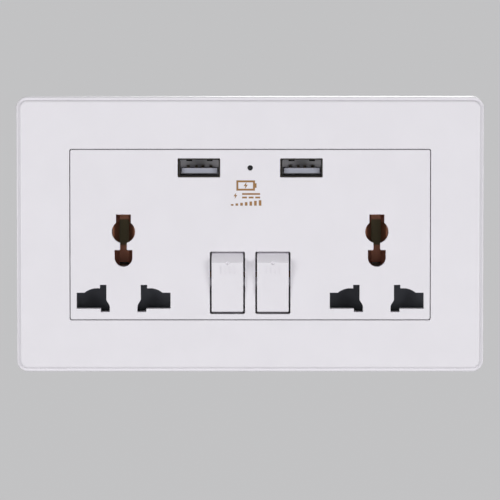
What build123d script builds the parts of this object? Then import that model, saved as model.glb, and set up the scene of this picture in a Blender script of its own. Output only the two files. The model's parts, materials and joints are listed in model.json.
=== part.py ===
"""A double universal wall socket with two rocker switches and two USB charging ports.

Frame: X runs to the right of the plate as seen from the room, Z runs up, and Y runs into the wall.
The wall surface is the plane Y = 0 and the origin is at the middle of the plate on that surface.
All sizes are in millimetres.
"""

from math import cos, radians, sin, sqrt
import os

from build123d import *

# Wall plate
plate_width = 146.0
plate_height = 86.0
plate_depth = 9.0
plate_corner = 3.5
rim_ledge = 1.0
rim_rise = 1.0
ledge_round = 0.4
rim_round = 0.8
frame_wall = 2.0
frame_lip = 1.2
frame_lip_depth = 3.0
frame_rib_count = 5
frame_rib_pitch = 24.0
frame_rib = 1.0
pry_notch_width = 8.0
pry_notch_depth = 1.6
pry_notch_cut = 1.2

# Inner panel
panel_width = 112.4
panel_height = 53.2
panel_corner = 0.6
panel_edge_round = 0.25
panel_gap = 0.25
panel_wall = 2.2
panel_skirt = 1.2

# Distances from the panel's edges to what it carries
outlet_from_side = 16.6
pins_from_bottom = 6.1
rocker_from_bottom = 11.5
usb_from_top = 5.7
boss_from_side = 4.7
boss_from_top = 5.7
boss_middle_height = 1.5
terminal_from_top = 10.6
neutral_from_side = 13.2
earth_from_side = 18.2
live_from_neutral = 10.0

# Steel mounting yoke
yoke_inset = 6.0
yoke_sheet = 1.2
yoke_stand = 3.0
yoke_corner = 3.0
box_screw_from_side = 12.7
box_screw_slot = 6.0
box_screw_radius = 2.1
yoke_seat_side = 0.6
yoke_seat_end = 1.2

# Clip hooks of the frame
hook_width = 8.0
hook_thickness = 1.2
hook_barb = 0.8
hook_spread = 72.0
hook_inset = 4.0
hook_start = 0.2
hook_play = 0.2
hook_seat = 0.1

# Rear housing
housing_inset_side = 0.7
housing_inset_end = 0.8
housing_depth = 24.0
housing_wall = 1.6
housing_mouth_wall = 0.7
housing_mouth_play = 0.4
housing_floor = 2.0
housing_corner = 2.0
housing_back_chamfer = 0.8
housing_flange_side = 1.1
housing_flange_end = 1.6

# Housing screws and their bosses
boss_radius = 3.0
column_radius = 2.6
column_head_radius = 3.5
column_head_depth = 9.2
screw_radius = 1.2
screw_head_radius = 2.7
screw_head_height = 1.8
screw_play = 0.05
screw_tip_gap = 0.4
screw_clearance = 0.2
boss_floor = 0.6
counterbore_play = 0.3
counterbore_depth = 8.0
cross_length = 3.2
cross_width = 0.7
cross_depth = 1.0

# Outlets
slot_outer = 14.7
slot_rise = 2.35
slot_drop = 2.7
slot_arc_radius = 6.1
slot_arc_middle = 8.3
slot_arc_drop = 2.35
tab_inner = 5.35
tab_outer = 7.4
tab_rise = 4.8
foot_inner = 4.3
foot_outer = 7.15
foot_drop = 3.75
foot_shoulder = 1.9
foot_step = 0.25
foot_step_drop = 1.33
slot_collar_depth = 1.6
slot_collar_wall = 0.7
earth_slot_width = 4.7
earth_slot_top = 6.35
earth_round_middle = 0.9
earth_round_radius = 3.65
earth_neck_width = 2.15
earth_pocket_top = -4.8
earth_pocket_radius = 2.8
earth_pocket_middle = -7.25

# Shutters
shutter_travel = 8.8
shutter_play = 0.2
shutter_plate = 1.6
shutter_flange = 2.4
shutter_ramp_depth = 6.2
shutter_cover = 0.3
shutter_inner = 3.9
shutter_bridge = 3.6
rail_width = 2.4
rail_end = 0.5
rail_drop = 3.5
rail_setback = 2.2
rail_play = 0.15
shutter_step = 0.6
spring_seat_width = 4.0
spring_seat_depth = 4.6
spring_seat_thickness = 1.2
spring_length = 15.6
spring_gap = 0.3
spring_offset = 9.5
spring_radius = 1.3
spring_wire = 0.4
spring_turns = 6

# Pin contacts
sheet = 0.5
contact_setback = 0.4
contact_inner = 4.9
contact_outer = 13.3
contact_mouth = 2.4
contact_pinch = 1.75
contact_bend = 2.2
contact_spread = 0.5
contact_stop = 0.6
leaf_inset = 1.2
earth_setback = 6.4
earth_mouth = 3.1
earth_pinch = 1.5
earth_bend = 4.0
earth_bend_play = 0.2
earth_low = -10.3
earth_high = 6.8
earth_slit_low = -4.6
earth_slit_high = -3.4
earth_slit_depth = 9.0

# Contact holders and the posts behind them
holder_depth = 9.9
holder_wall = 0.7
holder_side = 14.2
holder_rise = 4.2
holder_neck = 6.0
holder_crown = 1.6
cell_play = 0.3
cell_end_play = 0.5
holder_post = 2.0
holder_post_rise = 0.8
neck_post_low = 3.0
bar_post = 3.0
bar_post_places = [(0.0, 0.0), (-28.5, -20.0), (28.5, -14.5)]
post_overlap = 0.2

# Bus bars
bar = 0.8
bar_width = 3.0
bar_pad = 5.0
bar_plane_gap = 0.6
bar_plane_step = 1.7
bar_tab = 6.0
bar_pad_drop = 1.5
supply_rise = 3.24
supply_below = 0.9
neutral_rise = 3.6
riser_offset = 3.6
riser_inset = 1.2
board_link_low = 1.4
board_link = 2.0
board_link_inset = 1.2
strip_rise = 7.1
strip_tab = 4.0

# Rockers and their switches
rocker_spacing = 14.2
rocker_cutout_width = 11.0
rocker_cutout_height = 19.6
rocker_cutout_corner = 0.5
rocker_width = 9.9
rocker_end_radius = 9.65
rocker_end_angle = 10.0
rocker_tilt = 9.0
rocker_face = 5.4
rocker_ridge_top = 7.4
rocker_ridge_bottom = 8.3
rocker_ridge_round = 0.45
rocker_edge_round = 0.3
rocker_back = 1.5
rocker_wall = 1.2
pivot_depth = 4.0
trunnion_radius = 1.5
trunnion_play = 0.05
trunnion_end_play = 0.3
bearing_wall = 2.0
bearing_slot = 2.6
bearing_back = 2.4
bearing_height = 8.0
bearing_cut = 0.4
grip_count = 4
grip_pitch = 1.4
grip_start = 1.2
grip_length = 2.2
grip_width = 0.35
grip_cut = 0.15
marker_radius = 0.7
plunger_radius = 1.3
plunger_tip = 9.0
plunger_start = 2.0
plunger_play = 0.1
tube_wall = 0.8
tube_end = 4.5
plunger_spring_turns = 5
plunger_spring_wire = 0.35
arm_width = 4.0
arm_sheet = 0.6
arm_up = 6.5
arm_down = 5.8
arm_tilt = 5.0
arm_bead = 0.45
arm_offset = 0.9
arm_play = 0.06
arm_rivet_radius = 1.3
arm_rivet_place = 5.1
arm_rivet_height = 0.6
fixed_rivet_height = 0.5
fixed_rivet_gap = 0.1
post_thickness = 2.0
post_play = 0.05

# Charging ports
usb_spacing = 32.0
usb_cutout_width = 13.3
usb_cutout_height = 5.98
usb_cutout_corner = 0.3
usb_shell_width = 12.7
usb_shell_height = 5.6
usb_shell_sheet = 0.3
usb_shell_recess = 0.8
usb_shell_corner = 0.6
usb_shell_shift = 0.15
usb_tongue_width = 11.1
usb_tongue_thickness = 1.6
usb_tongue_drop = 0.95
usb_tongue_recess = 1.2
usb_insulator_depth = 4.0
usb_pin_places = (-3.5, -1.0, 1.0, 3.5)
usb_pin_width = 0.8
usb_pin_sheet = 0.25
usb_pin_setback = 3.0
usb_pin_proud = 0.1
usb_pocket_width = 1.3
usb_pocket_height = 0.8
usb_pocket_depth = 3.0
usb_spring_places = (-3.2, 3.2)
usb_spring_width = 1.8
usb_spring_slot = 2.6
usb_spring_start = 1.6
usb_spring_length = 5.0
usb_spring_dip = 0.55
usb_spring_lead = 0.2
usb_spring_bend = 1.0
usb_corner_chamfer = 0.3

# Charger board and its components
board_width = 49.0
board_height = 19.6
board_thickness = 1.6
board_front = 5.0
board_play = 0.2
board_post = 2.0
board_post_spread = 19.0
board_post_overlap = 0.5
led_hole_radius = 0.85
light_pipe_play = 0.05
light_pipe_recess = 0.5
light_pipe_flange = 1.6
light_pipe_flange_depth = 1.0
led_size = 1.6
led_thickness = 0.8
core_lift = 1.3
core_width = 15.0
core_height = 14.0
core_depth = 11.0
core_notch_width = 9.0
core_notch_depth = 2.5
winding_width = 13.0
winding_height = 8.0
winding_depth = 8.0
winding_corner = 1.5
capacitor_chamfer = 0.4
chip_chamfer = 0.3

# Round components: place across and above the board's middle, radius and length
capacitors = {
    "mains_capacitor_upper": (-17.5, 5.8, 4.0, 11.0),
    "mains_capacitor_lower": (-14.5, -3.2, 3.0, 9.0),
    "output_capacitor": (13.5, 6.3, 3.15, 8.5),
}

# Square components: place across and above the board's middle, width, height and depth
chips = {
    "bridge_rectifier": (-20.0, -2.7, 4.0, 6.0, 2.6),
    "controller_chip": (12.0, -4.2, 5.0, 4.0, 1.6),
    "isolation_capacitor": (19.5, -0.7, 3.6, 7.0, 6.0),
}

# Wire terminals
terminal_width = 8.0
terminal_height = 9.0
terminal_depth = 12.0
terminal_play = 0.2
terminal_wall = 1.0
wire_hole_radius = 2.2
wire_hole_length = 10.0
clamp_screw_radius = 1.3
clamp_head_radius = 2.8
clamp_head_height = 1.8
clamp_screw_lift = 0.3
clamp_access_play = 0.3
clamp_slot_width = 0.8
clamp_slot_depth = 0.9
clamp_head_lift = 0.2

# Places worked out from the sizes above
front = -plate_depth
panel_back = front + panel_wall
yoke_width = plate_width - 2 * yoke_inset
yoke_height = plate_height - 2 * yoke_inset
box_screw_spacing = plate_width - 2 * box_screw_from_side
yoke_front = -yoke_stand
yoke_back = yoke_front + yoke_sheet
skirt_back = yoke_front
outlet_spacing = panel_width - 2 * outlet_from_side
outlets = {"left": -outlet_spacing / 2, "right": outlet_spacing / 2}
rockers = {"left": -rocker_spacing / 2, "right": rocker_spacing / 2}
ports = {"left": -usb_spacing / 2, "right": usb_spacing / 2}
housing_width = panel_width - 2 * housing_inset_side
housing_height = panel_height - 2 * housing_inset_end
housing_back = housing_depth
cavity_side = housing_width / 2 - housing_wall
cavity_end = housing_height / 2 - housing_wall
mouth_side = housing_width / 2 - housing_mouth_wall
mouth_end = housing_height / 2 - housing_mouth_wall
pin_line = pins_from_bottom - panel_height / 2
rocker_middle = rocker_from_bottom - panel_height / 2
usb_height = panel_height / 2 - usb_from_top
boss_side = panel_width / 2 - boss_from_side
boss_top = panel_height / 2 - boss_from_top
rocker_side = (rocker_spacing + rocker_cutout_width) / 2
shutter_side = slot_outer + shutter_cover
boss_lower_side = (rocker_side + outlet_spacing / 2 - shutter_side) / 2
boss_places = [
    (-boss_side, boss_top),
    (boss_side, boss_top),
    (-boss_side, boss_middle_height),
    (boss_side, boss_middle_height),
    (-boss_lower_side, pin_line),
    (boss_lower_side, pin_line),
]
pivot_y = front + pivot_depth
slot_top = pin_line + slot_rise
slot_bottom = pin_line - slot_drop
foot_bottom = pin_line - foot_drop
tab_top = pin_line + tab_rise
collar_back = panel_back + slot_collar_depth
shutter_front = collar_back + shutter_play
ramp_back = shutter_front + shutter_ramp_depth
bridge_back = ramp_back + shutter_plate
ramp_high = tab_top + shutter_cover
ramp_low = foot_bottom - shutter_cover
spring_low = ramp_high + shutter_flange
spring_seat = spring_low + spring_length
rail_back = bridge_back - rail_setback
holder_front = bridge_back + shutter_play
holder_back = holder_front + holder_depth
holder_top = pin_line + holder_rise
contact_front = holder_front + contact_setback
earth_front = front + earth_setback
near_plane = holder_back + bar_plane_gap
far_plane = near_plane + bar_plane_step
arm_pivot_y = pivot_y + plunger_tip + arm_play + arm_offset
supply_plane = arm_pivot_y + supply_rise
board_back = board_front + board_thickness
board_high = cavity_end - board_play
board_low = board_high - board_height
board_middle = (board_low + board_high) / 2
terminal_middle = panel_height / 2 - terminal_from_top
terminal_low = terminal_middle - terminal_height / 2
terminal_high = terminal_middle + terminal_height / 2
terminal_front = housing_back - terminal_depth
terminal_places = {
    "neutral": neutral_from_side - panel_width / 2,
    "live": neutral_from_side - panel_width / 2 + live_from_neutral,
    "earth": panel_width / 2 - earth_from_side,
}


def at_depth(y):
    """A sketch plane parallel to the wall. Extruding from it goes towards the room."""
    return Plane.XZ.offset(-y)


def span(x0, x1, z0, z1, mode=Mode.ADD):
    """A rectangle between two corners, in the current sketch."""
    with Locations(((x0 + x1) / 2, (z0 + z1) / 2)):
        Rectangle(abs(x1 - x0), abs(z1 - z0), mode=mode)


def slab(back, front_face, *rectangles, mode=Mode.ADD):
    """Flat material from one depth to another, in the current part, from (x0, x1, z0, z1) rectangles."""
    with BuildSketch(at_depth(back)) as outline:
        for corners in rectangles:
            span(*corners)
    extrude(outline.sketch, amount=back - front_face, mode=mode)


def save(builder, name):
    """Labels a finished piece and writes its file."""
    builder.part.label = name
    export_step(builder.part, f"parts/{name}.step")


def pin_slot(middle, side):
    """The many-pin live or neutral slot, on one side of an outlet, in the current sketch."""
    arc_middle_z = pin_line - slot_arc_drop
    arc_inner_z = arc_middle_z + sqrt(slot_arc_radius**2 - (slot_arc_middle - tab_outer) ** 2)
    arc_end_x = slot_arc_middle + sqrt(slot_arc_radius**2 - (slot_rise + slot_arc_drop) ** 2)
    arc_top_x = (slot_arc_middle + arc_end_x) / 2
    arc_top_z = arc_middle_z + sqrt(slot_arc_radius**2 - (arc_top_x - slot_arc_middle) ** 2)
    with BuildLine() as outline:
        Polyline(
            (middle + side * tab_outer, arc_inner_z),
            (middle + side * tab_outer, tab_top),
            (middle + side * tab_inner, tab_top),
            (middle + side * tab_inner, pin_line),
            (middle + side * (foot_inner + foot_step), pin_line - foot_step_drop),
            (middle + side * foot_inner, pin_line - foot_shoulder),
            (middle + side * foot_inner, foot_bottom),
            (middle + side * foot_outer, foot_bottom),
            (middle + side * foot_outer, slot_bottom),
            (middle + side * slot_outer, slot_bottom),
            (middle + side * slot_outer, slot_top),
            (middle + side * arc_end_x, slot_top),
        )
        ThreePointArc(
            (middle + side * arc_end_x, slot_top),
            (middle + side * arc_top_x, arc_top_z),
            (middle + side * tab_outer, arc_inner_z),
        )
    make_face(outline.edges())


def earth_slot(middle):
    """The many-pin earth slot of an outlet, in the current sketch."""
    span(
        middle - earth_slot_width / 2,
        middle + earth_slot_width / 2,
        earth_round_middle,
        earth_slot_top,
    )
    with Locations((middle, earth_round_middle)):
        Circle(earth_round_radius)
    span(
        middle - earth_neck_width / 2,
        middle + earth_neck_width / 2,
        earth_pocket_middle,
        earth_round_middle,
    )
    span(
        middle - earth_pocket_radius,
        middle + earth_pocket_radius,
        earth_pocket_middle,
        earth_pocket_top,
    )
    with Locations((middle, earth_pocket_middle)):
        Circle(earth_pocket_radius)


def rocker_plane(x, tilt=rocker_tilt, y=pivot_y):
    """A plane across a rocker's pivot: local x runs back into the wall and local y runs up."""
    angle = radians(tilt)
    return Plane(
        origin=(x, y, rocker_middle),
        x_dir=(0, cos(angle), sin(angle)),
        z_dir=(1, 0, 0),
    )


def coil(start, direction, length, radius, wire, turns):
    """A compression spring of square wire from a start point along a direction."""
    axis = Plane(origin=start, z_dir=direction)
    with BuildPart() as spring:
        with BuildLine(axis.offset(wire / 2)) as path:
            Helix(
                pitch=(length - wire) / turns,
                height=length - wire,
                radius=radius,
                direction=direction,
            )
        with BuildSketch(Plane(origin=path.line @ 0, z_dir=path.line % 0)):
            Rectangle(wire, wire)
        sweep(is_frenet=True)
    return spring


os.makedirs("parts", exist_ok=True)

# Clip-on front frame: a stepped rim, a lip round the opening, ribs and four hooks
opening_width = panel_width + 2 * panel_gap
opening_height = panel_height + 2 * panel_gap
frame_inside = front + frame_wall
lip_back = frame_inside + frame_lip_depth
hook_middle = yoke_height / 2 - hook_inset
hook_end = -2 * hook_play
with BuildPart() as front_frame:
    with BuildSketch(Plane.XZ):
        RectangleRounded(plate_width, plate_height, plate_corner)
    extrude(amount=plate_depth - rim_rise)
    fillet(
        front_frame.faces().sort_by(Axis.Y)[0].outer_wire().edges(),
        radius=ledge_round,
    )
    with BuildSketch(at_depth(front + rim_rise)):
        RectangleRounded(
            plate_width - 2 * rim_ledge,
            plate_height - 2 * rim_ledge,
            plate_corner - rim_ledge,
        )
    extrude(amount=rim_rise)
    fillet(
        front_frame.faces().sort_by(Axis.Y)[0].outer_wire().edges(),
        radius=rim_round,
    )
    with BuildSketch(Plane.XZ):
        RectangleRounded(
            plate_width - 2 * frame_wall,
            plate_height - 2 * frame_wall,
            plate_corner - rim_ledge,
        )
    extrude(amount=-frame_inside, mode=Mode.SUBTRACT)
    slab(
        lip_back,
        frame_inside,
        (
            -opening_width / 2 - frame_lip,
            opening_width / 2 + frame_lip,
            -opening_height / 2 - frame_lip,
            opening_height / 2 + frame_lip,
        ),
    )
    rib_low = opening_height / 2 + frame_lip / 2
    rib_high = plate_height / 2 - frame_wall / 2
    with BuildSketch(at_depth(lip_back)):
        with Locations((0, -(rib_low + rib_high) / 2), (0, (rib_low + rib_high) / 2)):
            with GridLocations(frame_rib_pitch, 1, frame_rib_count, 1):
                Rectangle(frame_rib, rib_high - rib_low)
    extrude(amount=lip_back - frame_inside)
    with BuildSketch(at_depth(lip_back)):
        RectangleRounded(opening_width, opening_height, panel_corner)
    extrude(amount=lip_back - front, mode=Mode.SUBTRACT)
    for x in (-hook_spread / 2, hook_spread / 2):
        for side in (-1, 1):
            with BuildSketch(Plane.YZ.offset(x - hook_width / 2)):
                with BuildLine():
                    Polyline(
                        (frame_inside - hook_start, side * (hook_middle - hook_thickness)),
                        (hook_end, side * (hook_middle - hook_thickness)),
                        (hook_end, side * (hook_middle - hook_play)),
                        (yoke_back + hook_seat, side * (hook_middle + hook_barb)),
                        (yoke_back + hook_seat, side * hook_middle),
                        (frame_inside - hook_start, side * hook_middle),
                        close=True,
                    )
                make_face()
            extrude(amount=hook_width)
    with BuildSketch(Plane.XZ):
        with Locations((0, -plate_height / 2)):
            Rectangle(pry_notch_width, 2 * pry_notch_cut)
    extrude(amount=pry_notch_depth, mode=Mode.SUBTRACT)
save(front_frame, "front_frame")

# Inner panel with every opening, collars behind the pin slots, bosses and switch bearings
with BuildPart() as face_panel:
    with BuildSketch(at_depth(skirt_back)):
        RectangleRounded(panel_width, panel_height, panel_corner)
    extrude(amount=skirt_back - front)
    fillet(
        face_panel.faces().sort_by(Axis.Y)[0].outer_wire().edges(),
        radius=panel_edge_round,
    )
    slab(
        skirt_back,
        panel_back,
        (
            -panel_width / 2 + panel_skirt,
            panel_width / 2 - panel_skirt,
            -panel_height / 2 + panel_skirt,
            panel_height / 2 - panel_skirt,
        ),
        mode=Mode.SUBTRACT,
    )
    with BuildSketch(at_depth(collar_back)):
        for middle in outlets.values():
            for side in (-1, 1):
                pin_slot(middle, side)
        offset(amount=slot_collar_wall, kind=Kind.INTERSECTION)
    extrude(amount=slot_collar_depth)
    with BuildSketch(at_depth(yoke_back)):
        with Locations(*boss_places):
            Circle(boss_radius)
    extrude(amount=yoke_back - panel_back)
    with BuildSketch(at_depth(yoke_back)):
        with Locations(*boss_places):
            Circle(screw_radius + screw_play)
    extrude(amount=yoke_back - panel_back - boss_floor, mode=Mode.SUBTRACT)
    # Bearing walls on both sides of each rocker, with snap-in trunnion seats
    inner_wall = (rocker_spacing - rocker_cutout_width) / 2
    bearing_end = pivot_y + bearing_back
    for x0, x1 in (
        (-inner_wall, inner_wall),
        (rocker_side, rocker_side + bearing_wall),
        (-rocker_side - bearing_wall, -rocker_side),
    ):
        slab(
            bearing_end,
            panel_back,
            (x0, x1, rocker_middle - bearing_height / 2, rocker_middle + bearing_height / 2),
        )
    with BuildSketch(Plane.YZ.offset(-rocker_side - bearing_wall)):
        with Locations((pivot_y, rocker_middle)):
            Circle(trunnion_radius + trunnion_play)
        with Locations((pivot_y + (bearing_back + bearing_cut) / 2, rocker_middle)):
            Rectangle(bearing_back + bearing_cut, bearing_slot)
    extrude(amount=2 * (rocker_side + bearing_wall), mode=Mode.SUBTRACT)
    # Guide rail and spring seat of each shutter
    for middle in outlets.values():
        slab(
            rail_back,
            panel_back,
            (
                middle - rail_width / 2,
                middle + rail_width / 2,
                pin_line - rail_drop,
                pin_line + shutter_travel + rail_end,
            ),
        )
        toward = -1 if middle > 0 else 1
        seat_x = middle + toward * spring_offset
        slab(
            panel_back + spring_seat_depth,
            panel_back,
            (
                seat_x - spring_seat_width / 2,
                seat_x + spring_seat_width / 2,
                spring_seat,
                spring_seat + spring_seat_thickness,
            ),
        )
    # Openings through the front wall
    with BuildSketch(at_depth(collar_back)):
        for middle in outlets.values():
            earth_slot(middle)
            for side in (-1, 1):
                pin_slot(middle, side)
        with Locations(*[(x, rocker_middle) for x in rockers.values()]):
            RectangleRounded(rocker_cutout_width, rocker_cutout_height, rocker_cutout_corner)
        with Locations(*[(x, usb_height) for x in ports.values()]):
            RectangleRounded(usb_cutout_width, usb_cutout_height, usb_cutout_corner)
        with Locations((0, usb_height)):
            Circle(led_hole_radius)
    extrude(amount=collar_back - front, mode=Mode.SUBTRACT)
save(face_panel, "face_panel")

# Pressed steel yoke: a tray with a window, two slotted box screw holes and hook slots
window_width = panel_width - 2 * yoke_seat_side
window_height = panel_height - 2 * yoke_seat_end
with BuildPart() as mounting_yoke:
    with BuildSketch(Plane.XZ):
        RectangleRounded(yoke_width, yoke_height, yoke_corner)
    extrude(amount=yoke_stand)
    with BuildSketch(Plane.XZ):
        RectangleRounded(
            yoke_width - 2 * yoke_sheet,
            yoke_height - 2 * yoke_sheet,
            yoke_corner - yoke_sheet,
        )
    extrude(amount=-yoke_back, mode=Mode.SUBTRACT)
    with BuildSketch(Plane.XZ):
        RectangleRounded(window_width, window_height, panel_corner)
        for x in (-hook_spread / 2, hook_spread / 2):
            for side in (-1, 1):
                span(
                    x - hook_width / 2 - hook_play,
                    x + hook_width / 2 + hook_play,
                    side * (hook_middle - hook_thickness - hook_barb - hook_play),
                    side * (hook_middle + hook_play),
                )
        with Locations((-box_screw_spacing / 2, 0), (box_screw_spacing / 2, 0)):
            SlotOverall(box_screw_slot, 2 * box_screw_radius)
    extrude(amount=yoke_stand, mode=Mode.SUBTRACT)
save(mounting_yoke, "mounting_yoke")

# Rear housing: a deep tray with a flange, screw columns and windows for the wire terminals
with BuildPart() as rear_housing:
    with BuildSketch(at_depth(housing_back)):
        RectangleRounded(housing_width, housing_height, housing_corner)
    extrude(amount=housing_back - yoke_back)
    chamfer(
        rear_housing.faces().sort_by(Axis.Y)[-1].outer_wire().edges(),
        length=housing_back_chamfer,
    )
    slab(
        0.0,
        yoke_back,
        (
            -housing_width / 2 - housing_flange_side,
            housing_width / 2 + housing_flange_side,
            -housing_height / 2 - housing_flange_end,
            housing_height / 2 + housing_flange_end,
        ),
    )
    slab(
        housing_back - housing_floor,
        yoke_back,
        (-cavity_side, cavity_side, -cavity_end, cavity_end),
        mode=Mode.SUBTRACT,
    )
    slab(
        bridge_back + housing_mouth_play,
        yoke_back,
        (-mouth_side, mouth_side, -mouth_end, mouth_end),
        mode=Mode.SUBTRACT,
    )
    with BuildSketch(at_depth(housing_back)):
        with Locations(*boss_places):
            Circle(column_radius)
    extrude(amount=housing_back - yoke_back)
    with BuildSketch(at_depth(housing_back)):
        with Locations(*boss_places):
            Circle(column_head_radius)
    extrude(amount=column_head_depth)
    with BuildSketch(at_depth(housing_back)):
        with Locations(*boss_places):
            Circle(screw_radius + screw_clearance)
    extrude(amount=housing_back - yoke_back, mode=Mode.SUBTRACT)
    with BuildSketch(at_depth(housing_back)):
        with Locations(*boss_places):
            Circle(screw_head_radius + counterbore_play)
    extrude(amount=counterbore_depth, mode=Mode.SUBTRACT)
    # Posts that hold the bus bars, the contact holders and the charger board
    with BuildSketch(at_depth(housing_back)):
        with Locations(*bar_post_places):
            Rectangle(bar_post, bar_post)
    extrude(amount=housing_back - far_plane - bar)
    holder_post_low = -cavity_end - post_overlap
    holder_post_top = -cavity_end + holder_post_rise
    for middle in outlets.values():
        holder_left, holder_right = middle - holder_side, middle + holder_side
        neck_right = middle + holder_neck
        slab(
            housing_back,
            holder_back,
            (holder_left, holder_left + holder_post, holder_post_low, holder_post_top),
            (holder_right - holder_post, holder_right, holder_post_low, holder_post_top),
            (neck_right - holder_post, neck_right, neck_post_low, earth_high),
        )
    for side in (-1, 1):
        board_edge = side * board_width / 2
        post_x = side * board_post_spread / 2
        slab(
            housing_back,
            board_back,
            (
                board_edge - side * board_post,
                board_edge,
                board_high - board_post,
                board_high + board_post_overlap,
            ),
            (post_x - board_post / 2, post_x + board_post / 2, board_low, board_low + board_post),
        )
    # A pocket round each wire terminal, open to the back, with a way in to its clamp screw
    for x in terminal_places.values():
        slab(
            housing_back,
            terminal_front,
            (
                x - terminal_width / 2 - terminal_play - terminal_wall,
                x + terminal_width / 2 + terminal_play + terminal_wall,
                terminal_low + terminal_wall,
                cavity_end + post_overlap,
            ),
        )
        slab(
            housing_back,
            terminal_front,
            (
                x - terminal_width / 2 - terminal_play,
                x + terminal_width / 2 + terminal_play,
                terminal_low - terminal_play,
                terminal_high + terminal_play,
            ),
            mode=Mode.SUBTRACT,
        )
    with BuildSketch(Plane.XY.offset(terminal_high)):
        with Locations(*[(x, housing_back - wire_hole_length / 2) for x in terminal_places.values()]):
            Circle(clamp_head_radius + clamp_access_play)
    extrude(amount=terminal_height, mode=Mode.SUBTRACT)
save(rear_housing, "rear_housing")

# Housing screws, driven from the back into the panel's bosses
head_seat = housing_back - counterbore_depth
screw_tip = panel_back + boss_floor + screw_tip_gap
with BuildPart() as housing_screws:
    with BuildSketch(at_depth(head_seat)):
        with Locations(*boss_places):
            Circle(screw_radius)
    extrude(amount=head_seat - screw_tip)
    with BuildSketch(at_depth(head_seat + screw_head_height)):
        with Locations(*boss_places):
            Circle(screw_head_radius)
    extrude(amount=screw_head_height)
    with BuildSketch(at_depth(head_seat + screw_head_height)):
        for x, z in boss_places:
            span(x - cross_length / 2, x + cross_length / 2, z - cross_width / 2, z + cross_width / 2)
            span(x - cross_width / 2, x + cross_width / 2, z - cross_length / 2, z + cross_length / 2)
    extrude(amount=cross_depth, mode=Mode.SUBTRACT)
save(housing_screws, "housing_screws")

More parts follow.
